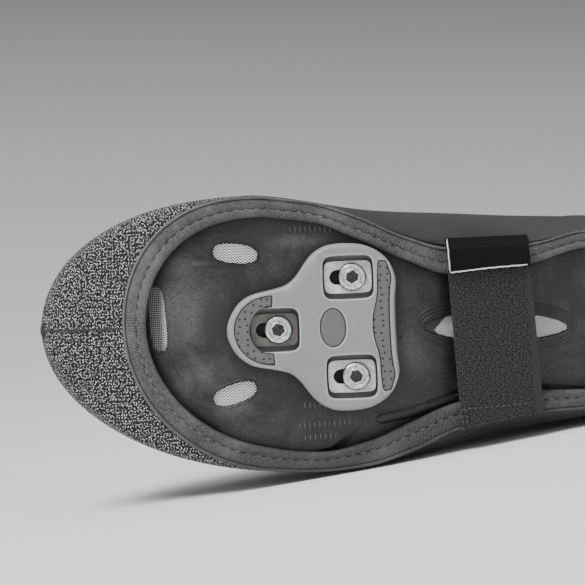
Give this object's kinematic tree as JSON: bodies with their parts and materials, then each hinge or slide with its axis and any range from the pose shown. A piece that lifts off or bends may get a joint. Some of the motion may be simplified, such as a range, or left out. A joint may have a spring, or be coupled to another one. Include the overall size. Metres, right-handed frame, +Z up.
{
  "type": "cycling_overshoe",
  "caption": "Neoprene cycling overshoe worn over a road shoe's sole and three-bolt cleat, right foot, lying on its outer side",
  "frame": {"origin": "centre of the bounding box in X and Y, on the floor it lies on in Z", "axes": "+X towards the heel, -Y out of the sole, +Y up the shaft, +Z up from the floor towards the inner side of the foot"},
  "size_m": [0.3096, 0.2252, 0.1224],
  "materials": {
    "neoprene": "matt knit face",
    "toe_fleck": "coated, flecked",
    "binding_tape": "fine weave",
    "strap_loop": "loop pile",
    "label_cloth": "smooth",
    "sole_composite": "satin",
    "insole_foam": "matt",
    "heel_rubber": "matt",
    "vent_mesh": "open mesh",
    "cleat_plastic": "matt",
    "cleat_grip": "matt",
    "washer_front": "satin",
    "washer_rear": "satin",
    "screw_steel": "bright"
  },
  "bodies": {
    "root": {"upper": "neoprene", "toe_cap": "toe_fleck", "binding": "binding_tape", "strap": "strap_loop", "label": "label_cloth", "sole_plate": "sole_composite", "insole": "insole_foam", "heel_pad": "heel_rubber", "vent_toe_inner": "vent_mesh", "vent_toe_outer": "vent_mesh", "vent_front": "vent_mesh", "vent_arch": "vent_mesh", "cleat": "cleat_plastic", "cleat_grip_front": "cleat_grip", "cleat_grip_rear": "cleat_grip", "cleat_button": "cleat_grip", "washer_1": "washer_front", "washer_2": "washer_rear", "washer_3": "washer_rear", "screw_1": "screw_steel", "screw_2": "screw_steel", "screw_3": "screw_steel"}
  },
  "joints": []
}
